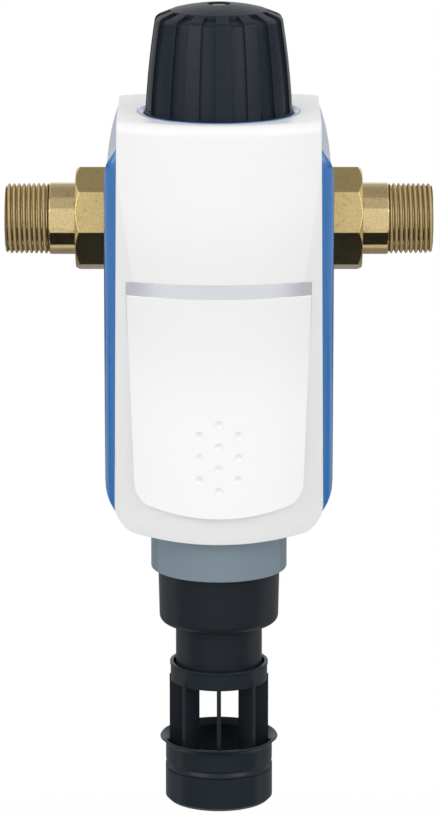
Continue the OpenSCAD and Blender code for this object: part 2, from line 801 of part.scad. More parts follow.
// Carrier of the mesh: flange under the head's core, ribbed cage, plate above the drain chamber
module mesh_support() {
    z_flange = z_core - 4;
    window_w = 14;
    tiers = 3;
    tier_h = (z_flange - z_mesh) / tiers;
    ring_cut = seal_r + gap;
    rim_r = cup_r - 3.7 - gap;
    color("#4a5056") difference() {
        union() {
            tube(support_r, mesh_r + gap / 2, z_plate, z_flange);
            tube(core_r, core_bore_r - 3.5, z_flange, z_core);
            tube(core_bore_r - gap, core_bore_r - 3.5, z_core, z_core + 10);
            tube(support_r, core_bore_r - 3.5, z_flange, z_core - gap);
            tube(rim_r, rotor_r + run, z_plate, z_mesh);
        }
        for (i = [0 : tiers - 1], a = [0, 60, 120]) rotate(a)
            translate([-window_w / 2, -2 * support_r, z_mesh + i * tier_h + 3])
                cube([window_w, 4 * support_r, tier_h - 5]);
        tube(rim_r + over, rim_r - 2 * ring_cut + gap, z_plate + plate_t / 2 - ring_cut,
             z_plate + plate_t / 2 + ring_cut);
    }
}

module support_seal() {
    color("#202020") seal_ring(cup_r - 3.7 - gap / 2 - seal_r, z_plate + plate_t / 2);
}

module filter_mesh() {
    color("lightgray") tube(mesh_r, mesh_bore_r, z_mesh, z_core - 4);
}

// Places its children at each suction nozzle, on alternate sides of the rotor
module at_nozzles() {
    span = (z_core - 4 - z_mesh) / nozzle_count;
    for (i = [0 : nozzle_count - 1]) rotate(180 * (i % 2))
        translate([0, 0, z_mesh + (i + 0.5) * span]) children();
}
nozzle_tip_t = 2.5;
nozzle_front = mesh_bore_r - 0.5;

// Hollow rotor: socket for the spindle, suction arms, lifting thread for the plug's stem
module suction_rotor() {
    arm_r = 3;
    arm_bore_r = 1.6;
    z_low = z_plate + 0.5;
    z_hub = z_core - 12;
    color("#d8d4c8") difference() {
        union() {
            translate([0, 0, z_low]) cylinder(r = rotor_r, h = z_core + 6 - z_low);
            at_nozzles() rotate([0, 90, 0]) cylinder(r = arm_r, h = nozzle_front - nozzle_tip_t);
        }
        translate([0, 0, z_low - over]) cylinder(r = stem_r + run, h = 2 * over);
        translate([0, 0, z_low + over]) cylinder(r = rotor_bore_r, h = z_hub - z_low - over);
        translate([-square / 2 - run, -square / 2 - run, z_core - 7.5])
            cube([square + 2 * run, square + 2 * run, 4 * over]);
        at_nozzles() rotate([0, 90, 0]) cylinder(r = arm_bore_r, h = mesh_r);
    }
}

module suction_nozzles() {
    tip_w = 6;
    tip_h = (z_core - 4 - z_mesh) / nozzle_count - 1;
    color("#303030") difference() {
        at_nozzles() translate([nozzle_front - nozzle_tip_t, -tip_w / 2, -tip_h / 2])
            cube([nozzle_tip_t, tip_w, tip_h]);
        at_nozzles() rotate([0, 90, 0]) cylinder(r = 1.6, h = mesh_r);
    }
}

module drain_seat() {
    color("#b08d4a") difference() {
        union() {
            translate([0, 0, z_floor - 6]) cylinder(r = drain_bore_r - gap, h = 6 + seat_t);
            translate([0, 0, z_floor]) cylinder(r = chamber_r - 1.5, h = seat_t);
            translate([0, 0, z_floor]) cylinder(r = seat_bore_r + 2, h = seat_t + seat_lip);
        }
        translate([0, 0, z_floor - 2 * over]) cylinder(r = seat_bore_r, h = 6 * over);
        for (s = [-1, 1]) translate([s * pin_x, 0, z_floor - 2])
            cylinder(r = pin_r + gap / 2, h = 4 * over);
    }
}

// Two pins that guide the plug and keep it from turning with the rotor
module guide_pins() {
    color("silver") for (s = [-1, 1]) translate([s * pin_x, 0, z_floor - 2])
        cylinder(r = pin_r, h = z_plug + plug_t + plug_lift - z_floor + 2);
}

module drain_plug() {
    stem_top = z_mesh + 14;
    color("#b9a05a") difference() {
        union() {
            translate([0, 0, z_plug]) cylinder(r = plug_r, h = plug_t);
            translate([0, 0, z_plug]) cylinder(r = stem_r, h = stem_top - z_plug);
            translate([0, 0, z_seal - 4]) cylinder(r = seat_bore_r - 3, h = z_plug - z_seal + 4);
        }
        translate([0, 0, z_plug + plug_t]) cylinder(r = stem_bore_r, h = 10 * over);
        translate([-over, 0, z_plug + plug_t + 1.6]) rotate([0, 90, 0])
            cylinder(r = 1.4, h = 2 * over);
        for (s = [-1, 1]) translate([s * pin_x, 0, z_plug - over])
            cylinder(r = pin_r + run, h = 4 * over);
    }
}

module plug_seal() {
    color("#202020") tube(seat_bore_r + 2, seat_bore_r - 3 + gap, z_seal, z_plug);
}

// Drain cage: spigot for a drain pipe, flared lip, radial ribs and the ring round the neck
module drain_cage() {
    rim_r = spigot_d / 2;
    collar_r = rim_r - 0.1;
    waist_r = rim_r - 0.7;
    lip_r = lip_d / 2;
    ring_r = cage_ring_d / 2;
    ring_bore_r = neck_d / 2 + 1.2;
    chamfer = 1.5;
    lug_w = 5;
    color("#262d33") {
        rotate_extrude() polygon(concat(
            [[spigot_bore_r, -chamfer], [rim_r - chamfer, -chamfer], [rim_r, 0],
             [rim_r, z_groove], [rim_r - 0.8, z_groove], [rim_r - 0.8, z_groove + 0.5],
             [rim_r, z_groove + 0.5], [rim_r, z_groove + 1.3],
             [waist_r, z_collar], [collar_r, z_collar + 0.8], [collar_r, z_lip - lip_h - 1.2]],
            arc(lip_r, z_lip - lip_h - 1.2, lip_r - collar_r, 180, 118, 4),
            [[lip_r, z_lip - 0.6], [lip_r - 0.4, z_lip], [lip_r - 1, z_lip],
             [spigot_bore_r, z_lip - lip_h]]));
        for (i = [0 : rib_count - 1]) rotate(-90 + i * 360 / rib_count)
            translate([ring_r + 0.5 - rib_depth, -rib_t / 2, z_lip - lip_h - 3])
                cube([rib_depth, rib_t, z_ring + neck_seat - z_lip + lip_h + 3]);
        tube(ring_r, ring_bore_r, z_ring, z_ring_top);
        tube(ring_r + 0.3, ring_bore_r, z_ring_top - 1.2, z_ring_top);
        for (i = [0 : rib_count - 1]) rotate(-90 + (i + 0.5) * 360 / rib_count)
            intersection() {
                tube(ring_r - 0.5, neck_d / 2 + gap, z_ring + 1, z_ring + 5);
                translate([0, -lug_w / 2, z_ring]) cube([ring_r, lug_w, cage_ring_h]);
            }
    }
}

front_cover();
front_panel();
trim_strip();
rear_cover();
cover_nut();
knob();
knob_screw();
spindle();
stop_pin();
bonnet();
bonnet_seal();
spindle_seals();
filter_head();
flange_gasket();
flange_bolts();
flange_washers();
connection_module();
union_gasket_inlet();
union_gasket_outlet();
tailpiece_inlet();
tailpiece_outlet();
union_nut_inlet();
union_nut_outlet();
lock_ring();
bowl_seal();
filter_bowl();
label_ring();
mesh_support();
support_seal();
filter_mesh();
suction_rotor();
suction_nozzles();
drain_seat();
guide_pins();
drain_plug();
plug_seal();
drain_cage();
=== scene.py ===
"""Dressed view of a self-cleaning water filter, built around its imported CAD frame."""
import logging
import math
from dataclasses import dataclass
from enum import Enum
from typing import Callable, Optional, Sequence

import bmesh
import bpy
from mathutils import Matrix, Vector

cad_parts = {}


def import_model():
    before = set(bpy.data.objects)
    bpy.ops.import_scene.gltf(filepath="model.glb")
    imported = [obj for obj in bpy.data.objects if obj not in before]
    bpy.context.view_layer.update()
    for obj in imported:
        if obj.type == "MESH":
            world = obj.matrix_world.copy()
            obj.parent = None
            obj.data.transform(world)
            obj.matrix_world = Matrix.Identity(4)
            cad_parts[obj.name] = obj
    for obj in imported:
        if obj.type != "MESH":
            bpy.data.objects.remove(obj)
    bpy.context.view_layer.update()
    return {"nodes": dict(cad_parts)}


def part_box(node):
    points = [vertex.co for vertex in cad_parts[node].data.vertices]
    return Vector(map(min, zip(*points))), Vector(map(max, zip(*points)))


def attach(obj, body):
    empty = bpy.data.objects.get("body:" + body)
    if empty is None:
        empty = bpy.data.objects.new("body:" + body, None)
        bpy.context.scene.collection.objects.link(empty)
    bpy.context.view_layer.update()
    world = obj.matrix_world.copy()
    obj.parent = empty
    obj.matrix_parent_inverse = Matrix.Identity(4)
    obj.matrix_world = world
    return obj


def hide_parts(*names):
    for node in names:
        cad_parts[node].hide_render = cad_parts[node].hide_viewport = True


LOG = logging.getLogger("filter_scene")
Point = tuple[float, float]
Spot = tuple[float, float, float]
Colour = tuple[float, float, float]

# Lengths are in metres.
MM = 0.001
# Corners of a CAD mesh's loose triangles that lie closer than this are one.
MERGE = 1e-6
# Points of the script's own meshes that lie closer than this are one.
TOUCH = 1e-7
# Depth and height of the pipe's axis.
PIPE_AXIS: Point = (54.0 * MM, 265.0 * MM)


class Side(Enum):
    """The two ends of the pipe connection."""

    INLET = -1
    OUTLET = 1


class Body(Enum):
    """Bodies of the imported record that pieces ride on."""

    HOUSING = "housing"
    TURNING = "turning_works"


class Facing(Enum):
    """How a studio card stands."""

    LEVEL = "level"
    FRONT = "front"
    SIDEWAYS = "sideways"


class Value:
    """A shader socket that carries a number; Python operators on it add Math nodes."""

    def __init__(self, maker: "NodeMaker", socket: bpy.types.NodeSocket) -> None:
        """Wrap an output socket.

        Args:
            maker: the maker that owns the node tree.
            socket: the output socket that carries the number.
        """
        self.maker = maker
        self.socket = socket

    def _math(self, operation: str, first: object, second: object) -> "Value":
        """Add one Math node.

        Args:
            operation: the Math node's operation.
            first: its first number or value.
            second: its second number or value.

        Returns:
            The node's result.
        """
        node = self.maker.make("ShaderNodeMath", {"operation": operation}, {0: first, 1: second})
        return Value(self.maker, node.outputs[0])

    def __add__(self, other: object) -> "Value":
        """Sum."""
        return self._math("ADD", self, other)

    __radd__ = __add__

    def __sub__(self, other: object) -> "Value":
        """Difference."""
        return self._math("SUBTRACT", self, other)

    def __rsub__(self, other: object) -> "Value":
        """Reflected difference, so that 1 - mask works."""
        return self._math("SUBTRACT", other, self)

    def __mul__(self, other: object) -> "Value":
        """Product."""
        return self._math("MULTIPLY", self, other)

    __rmul__ = __mul__

    def over(self, limit: float) -> "Value":
        """One where the value is above the limit, else nothing."""
        return self._math("GREATER_THAN", self, limit)

    def largest(self, other: object) -> "Value":
        """The larger of the two."""
        return self._math("MAXIMUM", self, other)

    def root(self) -> "Value":
        """Square root."""
        return self._math("SQRT", self, 0.0)

    def __abs__(self) -> "Value":
        """Size without the sign."""
        return self._math("ABSOLUTE", self, 0.0)


class NodeMaker:
    """Adds nodes to one shader tree."""

    def __init__(self, tree: bpy.types.NodeTree) -> None:
        """Take over a tree.

        Args:
            tree: the shader tree, which is emptied.
        """
        self.tree = tree
        tree.nodes.clear()

    def make(self, kind: str, settings: Optional[dict] = None,
             inputs: Optional[dict] = None) -> bpy.types.Node:
        """Add a node, set its settings first and then its sockets.

        Args:
            kind: the node's type.
            settings: its own properties; "stops" fills a colour ramp.
            inputs: values, Value objects or sockets by socket name or number.

        Returns:
            The new node.
        """
        node = self.tree.nodes.new(kind)
        for name, value in (settings or {}).items():
            if name == "stops":
                ramp = node.color_ramp.elements
                while len(ramp) < len(value):
                    ramp.new(0.5)
                for stop, (place, colour) in zip(ramp, value):
                    stop.position = place
                    stop.color = (*colour, 1.0)
            else:
                setattr(node, name, value)
        for name, value in (inputs or {}).items():
            socket = node.inputs[name]
            if isinstance(value, Value):
                value = value.socket
            if isinstance(value, bpy.types.NodeSocket):
                self.tree.links.new(value, socket)
            elif isinstance(value, tuple) and len(value) == 3 and socket.type == "RGBA":
                socket.default_value = (*value, 1.0)
            else:
                socket.default_value = value
        return node

    def place(self) -> bpy.types.NodeSocket:
        """Object coordinates, in metres in the part's frame."""
        return self.make("ShaderNodeTexCoord").outputs["Object"]

    def along(self, axis: int) -> Value:
        """One Object coordinate: 0 across, 1 in depth, 2 in height."""
        return Value(self, self.make("ShaderNodeSeparateXYZ", None, {0: self.place()}).outputs[axis])

    def noise(self, scale: float, detail: float) -> Value:
        """Noise over the piece.

        Args:
            scale: how many cells a metre holds.
            detail: how many octaves.

        Returns:
            The noise, about 0.3 to 0.7.
        """
        node = self.make("ShaderNodeTexNoise", {"noise_dimensions": "3D"},
                         {"Vector": self.place(), "Scale": scale, "Detail": detail, "Roughness": 0.55})
        return Value(self, node.outputs["Fac"])

    def climb(self, value: object, low: float, high: float) -> Value:
        """Smooth climb of a value between two levels.

        Args:
            value: the number or value to read.
            low: level that gives nothing.
            high: level that gives one.

        Returns:
            The share, from nothing to one.
        """
        node = self.make("ShaderNodeMapRange", {"interpolation_type": "SMOOTHSTEP"},
                         {"Value": value, "From Min": low, "From Max": high})
        return Value(self, node.outputs[0])

    def patches(self, noise: Value, low: float, high: float) -> Value:
        """Patches where a noise is high.

        Args:
            noise: the noise to read.
            low: level below which there is no patch.
            high: level above which the patch is full.

        Returns:
            The share, from nothing to one.
        """
        stops = [(low, (0, 0, 0)), (high, (1, 1, 1))]
        node = self.make("ShaderNodeValToRGB", {"stops": stops}, {"Fac": noise})
        return Value(self, node.outputs[0])

    def blend(self, share: object, first: object, second: object) -> bpy.types.NodeSocket:
        """Mix two colours.

        Args:
            share: share of the second colour.
            first: first colour or socket.
            second: second colour or socket.

        Returns:
            The mixed colour.
        """
        return self.make("ShaderNodeMix", {"data_type": "RGBA"}, {0: share, 6: first, 7: second}).outputs[2]


def start_material(name: str) -> tuple[bpy.types.Material, NodeMaker]:
    """Make an empty material and the maker of its nodes."""
    material = bpy.data.materials.new(name)
    material.use_nodes = True
    return material, NodeMaker(material.node_tree)


def add_object(name: str, bm: bmesh.types.BMesh) -> bpy.types.Object:
    """Turn a bmesh, which is freed, into an object of the scene."""
    mesh = bpy.data.meshes.new(name)
    bm.to_mesh(mesh)
    bm.free()
    made = bpy.data.objects.new(name, mesh)
    bpy.context.scene.collection.objects.link(made)
    return made


@dataclass(frozen=True)
class Finish:
    """One finish: its colour, its gloss and the fine relief of its surface."""

    name: str
    colour: Colour
    roughness: float
    metallic: float = 0.0
    mottle: float = 0.05
    grain_scale: float = 2600.0
    grain_height: float = 0.00002
    grain_strength: float = 0.12
    edge_radius: float = 0.0004
    coat: float = 0.0
    coat_roughness: float = 0.12
    specular: float = 0.5
    drift_scale: float = 38.0
    mark_scale: float = 120.0
    mark_share: float = 0.28

    def tint(self, maker: NodeMaker) -> bpy.types.NodeSocket:
        """Base colour with a slow drift over the surface.

        Args:
            maker: maker of the material's nodes.

        Returns:
            The colour socket.
        """
        drift = maker.noise(self.drift_scale, 3.0)
        dark = tuple(c * (1 - self.mottle) for c in self.colour)
        light = tuple(min(1.0, c * (1 + self.mottle)) for c in self.colour)
        return maker.blend(drift, dark, light)

    def gloss(self, maker: NodeMaker) -> Value:
        """Roughness with handling marks.

        Args:
            maker: maker of the material's nodes.

        Returns:
            The roughness value.
        """
        marks = maker.noise(self.mark_scale, 5.0) * self.mark_share + (1 - self.mark_share / 2)
        return marks * self.roughness

    def relief(self, maker: NodeMaker) -> Value:
        """Fine grain that the bump reads."""
        return maker.noise(self.grain_scale, 3.0)

    def build(self) -> bpy.types.Material:
        """Make the material.

        Returns:
            The new material.
        """
        material, maker = start_material(self.name)
        soft = maker.make("ShaderNodeBevel", {"samples": 6}, {"Radius": self.edge_radius})
        bump = maker.make("ShaderNodeBump", None,
                          {"Strength": self.grain_strength, "Distance": self.grain_height,
                           "Height": self.relief(maker), "Normal": soft.outputs[0]})
        shader = maker.make("ShaderNodeBsdfPrincipled", None,
                            {"Base Color": self.tint(maker), "Roughness": self.gloss(maker),
                             "Metallic": self.metallic, "Normal": bump.outputs[0],
                             "Coat Weight": self.coat, "Coat Roughness": self.coat_roughness,
                             "Specular IOR Level": self.specular})
        maker.make("ShaderNodeOutputMaterial", None, {"Surface": shader.outputs[0]})
        return material


@dataclass(frozen=True)
class PaintedShadeMoulding(Finish):
    """White moulding with painted light and shade: its tone drifts from one height of the cover to another.
    """

    # Colour at the bottom of the climb: painted shade where it is darker than the white, painted light
    # where it is lighter.
    painted_low_colour: Colour = (0.7, 0.7, 0.7)
    low_z: float = 0.254
    high_z: float = 0.294

    def tint(self, maker: NodeMaker) -> bpy.types.NodeSocket:
        """White with painted light and shade that changes slowly with height.

        Args:
            maker: maker of the material's nodes.

        Returns:
            The colour socket.
        """
        # Painted light and shade: the colour climbs with height from the painted low colour to the
        # moulding's own white.
        rise = maker.climb(maker.along(2), self.low_z, self.high_z)
        return maker.blend(rise, self.painted_low_colour, super().tint(maker))


@dataclass(frozen=True)
class CastBrass(Finish):
    """Brass whose faces keep a blasted grain, with darker stain in random patches."""

    stain: Colour = (0.24, 0.16, 0.06)
    stain_scale: float = 310.0
    stain_share: float = 0.35
    slow_scale: float = 90.0
    slow_tone: float = 0.88
    fleck_scale: float = 1300.0
    fleck_share: float = 0.42
    fleck_tone: float = 1.35

    def tint(self, maker: NodeMaker) -> bpy.types.NodeSocket:
        """Brass colour with stain.

        Args:
            maker: maker of the material's nodes.

        Returns:
            The colour socket.
        """
        dull = tuple(c * self.slow_tone for c in self.colour)
        bright = tuple(min(1.0, c * self.fleck_tone) for c in self.colour)
        slow = maker.blend(maker.noise(self.slow_scale, 4.0), dull, self.colour)
        flecks = maker.patches(maker.noise(self.fleck_scale, 2.0), 0.38, 0.62)
        spots = maker.patches(maker.noise(self.stain_scale, 6.0), 0.56, 0.74)
        warm = maker.blend(flecks * self.fleck_share, slow, bright)
        return maker.blend(spots * self.stain_share, warm, self.stain)


@dataclass(frozen=True)
class ThreadBrass(CastBrass):
    """Brass of a cut pipe thread, darker towards the roots with oil, grime and painted shade."""

    axis: Point = PIPE_AXIS
    root_r: float = 15.2 * MM
    crest_r: float = 16.2 * MM
    root_share: float = 0.40

    def tint(self, maker: NodeMaker) -> bpy.types.NodeSocket:
        """Brass that darkens from crest to root, as grime and painted shade in the roots.

        Args:
            maker: maker of the material's nodes.

        Returns:
            The colour socket.
        """
        off_y, off_z = (maker.along(i + 1) - self.axis[i] for i in (0, 1))
        rise = maker.climb((off_y * off_y + off_z * off_z).root(), self.root_r, self.crest_r)
        # Painted shade and grime: the colour at the roots is the brass darkened by root_share.
        root_grime_and_shade = tuple(c * self.root_share for c in self.colour)
        return maker.blend(rise, root_grime_and_shade, super().tint(maker))


@dataclass(frozen=True)
class LabelGrey(Finish):
    """Grey ring with a slightly lighter bare field where a label would be."""

    field_colour: Colour = (0.183, 0.240, 0.280)
    field_half_angle: float = 63.0

    def tint(self, maker: NodeMaker) -> bpy.types.NodeSocket:
        """Ring colour, lighter over the front field.

        Args:
            maker: maker of the material's nodes.

        Returns:
            The colour socket.
        """
        slope = math.tan(math.radians(90 - self.field_half_angle))
        front = (maker.along(1) * -1 - abs(maker.along(0)) * slope).over(0.0)
        return maker.blend(front, super().tint(maker), self.field_colour)


@dataclass(frozen=True)
class WovenMesh(Finish):
    """Steel gauze, with its wires as fine relief."""

    pitch: float = 1.1 * MM
    wave_length: float = 0.314

    def relief(self, maker: NodeMaker) -> Value:
        """Wires of the gauze."""
        wave = maker.make("ShaderNodeTexWave", {"bands_direction": "Z"},
                          {"Vector": maker.place(), "Scale": self.wave_length / self.pitch,
                           "Distortion": 0.0})
        return Value(maker, wave.outputs["Fac"])


class Palette:
    """Every finish of the filter, built once."""

    def __init__(self) -> None:
        """Build the materials."""
        finishes = [
            # The cover's white is painted darker towards the bottom: painted shade on the downward-facing
            # rim.
            PaintedShadeMoulding("white_moulding", (0.84, 0.84, 0.84), 0.34, mottle=0.006, edge_radius=0.0009,
                           grain_strength=0.05, painted_low_colour=(0.79, 0.79, 0.79)),
            # The panel's white is painted lighter towards the bottom: painted light, lighter than the
            # cover's rim.
            PaintedShadeMoulding("panel_moulding", (0.80, 0.80, 0.80), 0.30, mottle=0.006, edge_radius=0.0003,
                           grain_strength=0.05, painted_low_colour=(0.87, 0.87, 0.87), low_z=0.180, high_z=0.243),
            Finish("blue_moulding", (0.022, 0.155, 0.43), 0.34, mottle=0.03, edge_radius=0.0009, coat=1.0,
                   coat_roughness=0.09, specular=0.3),
            Finish("black_moulding", (0.011, 0.0155, 0.021), 0.38, mottle=0.10, edge_radius=0.0005,
                   grain_strength=0.22, specular=0.24),
            Finish("drain_moulding", (0.0138, 0.0192, 0.0245), 0.34, mottle=0.10, edge_radius=0.0006,
                   grain_strength=0.16, specular=0.17, coat=0.04),
            Finish("knob_moulding", (0.0088, 0.0142, 0.0222), 0.40, mottle=0.10, edge_radius=0.0006,
                   grain_strength=0.25, specular=0.22),
            Finish("silver_coating", (0.88, 0.90, 0.96), 0.24, metallic=0.95, mottle=0.02,
                   edge_radius=0.0003, grain_strength=0.05),
            LabelGrey("label_grey", (0.155, 0.205, 0.245), 0.45, mottle=0.03, specular=0.3),
            CastBrass("cast_brass", (0.575, 0.44, 0.20), 0.25, metallic=1.0, grain_scale=950.0,
                      grain_height=0.0001, grain_strength=0.4, edge_radius=0.0006),
            CastBrass("turned_brass", (0.67, 0.52, 0.27), 0.22, metallic=1.0, grain_scale=1500.0,
                      grain_height=0.00005, grain_strength=0.3, edge_radius=0.0003),
            # Thread brass carries grime and painted shade in its roots.
            ThreadBrass("thread_brass", (0.57, 0.42, 0.18), 0.58, metallic=0.35, grain_scale=1500.0,
                        grain_height=0.00005, grain_strength=0.3, edge_radius=0.0002),
            Finish("bronze_screw", (0.52, 0.46, 0.43), 0.24, metallic=1.0, mottle=0.15),
            Finish("plain_steel", (0.55, 0.55, 0.56), 0.30, metallic=1.0, mottle=0.06),
            WovenMesh("steel_gauze", (0.45, 0.45, 0.46), 0.38, metallic=1.0, grain_height=0.0003,
                      grain_strength=0.8),
            Finish("seal_rubber", (0.015, 0.015, 0.016), 0.62, mottle=0.15),
            Finish("head_moulding", (0.045, 0.05, 0.055), 0.48, mottle=0.10, grain_strength=0.25),
            Finish("rotor_moulding", (0.62, 0.60, 0.53), 0.42, mottle=0.05),
        ]
        self.materials = {finish.name: finish.build() for finish in finishes}

    def dress(self, piece: bpy.types.Object, finish: str) -> None:
        """Give a piece one finish all over.

        Args:
            piece: the object to dress.
            finish: name of the finish.
        """
        piece.data.materials.clear()
        piece.data.materials.append(self.materials[finish])


class Workshop:
    """Makes finished objects from bmeshes and dresses them."""

    def __init__(self, palette: Palette, nodes: dict) -> None:
        """Keep what every sub-assembly needs.

        Args:
            palette: the finishes.
            nodes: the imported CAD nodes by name.
        """
        self.palette = palette
        self.nodes = nodes

    def dress_nodes(self, finishes: dict[str, str]) -> None:
        """Give CAD nodes their finishes.

        Args:
            finishes: finish name by node name.
        """
        for node, finish in finishes.items():
            self.palette.dress(self.nodes[node], finish)
            LOG.info("node %s dressed in %s", node, finish)

    def copy(self, node: str) -> bmesh.types.BMesh:
        """Copy a CAD node's mesh and merge its loose triangles."""
        bm = bmesh.new()
        bm.from_mesh(self.nodes[node].data)
        bmesh.ops.remove_doubles(bm, verts=bm.verts, dist=MERGE)
        return bm

    def piece(self, name: str, bm: bmesh.types.BMesh, finish: str, body: str, slot: str,
              stands_for: Sequence[str] = (), smooth: float = 30.0) -> None:
        """Turn a bmesh into a finished piece that rides on a body.

        Args:
            name: the piece's name.
            bm: its mesh, which is freed.
            finish: name of the finish.
            body: the CAD body it rides on.
            slot: the record's material slot; not used.
            stands_for: CAD nodes that it replaces.
            smooth: edges sharper than this angle stay sharp, in degrees.
        """
        limit = math.radians(smooth)
        for face in bm.faces:
            face.smooth = True
        for edge in bm.edges:
            edge.smooth = len(edge.link_faces) == 2 and edge.calc_face_angle(0.0) < limit
        made = add_object(name, bm)
        self.palette.dress(made, finish)
        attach(made, body)
        if stands_for:
            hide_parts(*stands_for)
        LOG.info("piece %s: %d faces on %s", name, len(made.data.polygons), body)


def lathe(profile: Sequence[Point], steps: int, closed: bool = True) -> bmesh.types.BMesh:
    """Spin a profile about the X axis.

    Args:
        profile: points as (x, radius), in metres.
        steps: steps round the full turn.
        closed: whether the last point joins the first.

    Returns:
        The spun mesh, with its normals outwards.
    """
    bm = bmesh.new()
    points = [bm.verts.new((x, 0.0, r)) for x, r in profile]
    pairs = list(zip(points, points[1:] + points[:1])) if closed else list(zip(points, points[1:]))
    edges = [bm.edges.new(pair) for pair in pairs]
    bmesh.ops.spin(bm, geom=points + edges, cent=(0, 0, 0), axis=(1, 0, 0), angle=math.tau,
                   steps=steps, use_merge=True)
    bmesh.ops.remove_doubles(bm, verts=bm.verts, dist=TOUCH)
    bmesh.ops.recalc_face_normals(bm, faces=bm.faces)
    return bm


def stand(bm: bmesh.types.BMesh) -> None:
    """Turn a mesh that was spun about the X axis upright."""
    bmesh.ops.rotate(bm, cent=(0, 0, 0), matrix=Matrix.Rotation(-math.pi / 2, 3, "Y"), verts=bm.verts)


def reshape(bm: bmesh.types.BMesh, radius_at: Callable[[float, float, float], float]) -> None:
    """Move every vertex radially about the X axis.

    Args:
        bm: the mesh.
        radius_at: the new radius from the vertex's x, radius and angle.
    """
    for vert in bm.verts:
        radius = math.hypot(vert.co.y, vert.co.z)
        if radius > TOUCH:
            angle = math.atan2(vert.co.z, vert.co.y)
            scale = radius_at(vert.co.x, radius, angle) / radius
            vert.co.y *= scale
            vert.co.z *= scale


@dataclass
class PipeUnion:
    """One end of the connection: the tailpiece with its thread, gasket and union nut."""

    side: Side
    axis: Point = PIPE_AXIS
    x_collar: float = 58.0 * MM
    x_shoulder: float = 62.5 * MM
    x_thread: float = 79.8 * MM
    x_end: float = 100.1 * MM
    bore_r: float = 12.5 * MM
    collar_r: float = 19.9 * MM
    neck_r: float = 16.8 * MM
    neck_relief: float = 0.4 * MM
    neck_steps: int = 192
    flats: tuple[Point, ...] = ((34.8, 16.57 * MM), (6.5, 15.81 * MM), (-24.0, 16.46 * MM))
    edge: float = 0.5 * MM
    end_chamfer: float = 1.2 * MM
    bore_chamfer: float = 0.8 * MM
    run_out: float = 0.3 * MM
    crest_r: float = 16.6 * MM
    crest_round: float = 0.05 * MM
    root_r: float = 15.1 * MM
    foot: float = 0.9 * MM
    pitch: float = 2.309 * MM
    taper: float = 1 / 96
    notch: float = 0.10 * MM
    notch_wave: float = 0.05 * MM
    notch_beat: float = 2.4
    fade_start: float = 0.1 * MM
    fade_reach: float = 1.5 * MM
    fade_deep: float = 1.1 * MM
    thread_in: float = 0.2 * MM
    thread_out: float = 0.25 * MM
    thread_steps: int = 84

    def _settle(self, bm: bmesh.types.BMesh) -> None:
        """Turn a mesh made for the outlet to this side and move it onto the pipe axis."""
        if self.side is Side.INLET:
            bmesh.ops.rotate(bm, cent=(0, 0, 0), matrix=Matrix.Rotation(math.pi, 3, "Z"), verts=bm.verts)
        bmesh.ops.translate(bm, vec=(0, *self.axis), verts=bm.verts)

    def _neck_radius(self, x: float, radius: float, angle: float) -> float:
        """Radius of the neck: a round with three flats on each side, given by their tilt and their reach.

        Args:
            x: place along the pipe.
            radius: the plain radius.
            angle: angle round the pipe, from the wall side towards the top.

        Returns:
            The new radius.
        """
        if not self.x_shoulder < x < self.x_thread or radius < self.root_r:
            return radius
        facing = 0.0 if self.side is Side.INLET else math.pi
        rise = (facing - angle) * self.side.value
        for tilt, reach in self.flats:
            off = (rise - math.radians(tilt) + math.pi / 2) % math.pi - math.pi / 2
            if abs(off) < math.pi / 4:
                radius = min(radius, reach / math.cos(off))
        return radius

    def _body(self) -> bmesh.types.BMesh:
        """Tailpiece body: collar, neck with flats, thread core and bore.

        Returns:
            The mesh on its own axis, for the outlet.
        """
        edge = self.edge
        profile = [
            (self.x_collar, self.bore_r), (self.x_collar, self.collar_r - edge),
            (self.x_collar + edge, self.collar_r), (self.x_shoulder - edge, self.collar_r),
            (self.x_shoulder - edge / 2, self.neck_r - self.neck_relief),
            (self.x_shoulder + edge, self.neck_r),
            (self.x_thread - 2 * edge, self.neck_r), (self.x_thread - edge, self.neck_r - edge),
            (self.x_thread + self.run_out, self.root_r),
            (self.x_end - self.end_chamfer, self.root_r - edge),
            (self.x_end, self.root_r - self.end_chamfer), (self.x_end, self.bore_r + edge),
            (self.x_end - self.bore_chamfer, self.bore_r)]
        bm = lathe(profile, self.neck_steps)
        reshape(bm, self._neck_radius)
        return bm

    def _thread(self) -> bmesh.types.BMesh:
        """Helical thread ridge with roughened crests, on a slight taper.

        Returns:
            The mesh on its own axis, for the outlet.
        """
        bm = bmesh.new()
        half = self.pitch / 2
        start = self.x_thread - self.pitch
        flank = [(-0.99, self.root_r - self.foot), (-0.86, self.root_r),
                 (-0.24, self.crest_r - self.crest_round)]
        shape = flank + [(0.0, self.crest_r)] + [(-x, r) for x, r in reversed(flank)]
        loop = [bm.verts.new((start + x * half, 0.0, r)) for x, r in shape]
        edges = [bm.edges.new(pair) for pair in zip(loop, loop[1:] + loop[:1])]
        turns = (self.x_end - start) / self.pitch + 1.0
        count = int(self.thread_steps * turns)
        spun = bmesh.ops.spin(bm, geom=loop + edges, cent=(0, 0, 0), axis=(1, 0, 0),
                              dvec=(self.pitch / self.thread_steps, 0, 0),
                              angle=math.tau * count / self.thread_steps, steps=count)
        last = [item for item in spun["geom_last"] if isinstance(item, bmesh.types.BMEdge)]
        bmesh.ops.edgeloop_fill(bm, edges=edges)
        bmesh.ops.edgeloop_fill(bm, edges=last)
        reshape(bm, self._crest_radius)
        for place, facing in ((self.x_thread + self.thread_in, -1.0), (self.x_end - self.thread_out, 1.0)):
            cut = bmesh.ops.bisect_plane(bm, geom=bm.verts[:] + bm.edges[:] + bm.faces[:], dist=TOUCH,
                                         plane_co=(place, 0, 0), plane_no=(facing, 0, 0),
                                         clear_outer=True)
            rim = [item for item in cut["geom_cut"] if isinstance(item, bmesh.types.BMEdge)]
            bmesh.ops.triangle_fill(bm, edges=rim, use_beauty=True, normal=(facing, 0, 0))
        bmesh.ops.recalc_face_normals(bm, faces=bm.faces)
        return bm

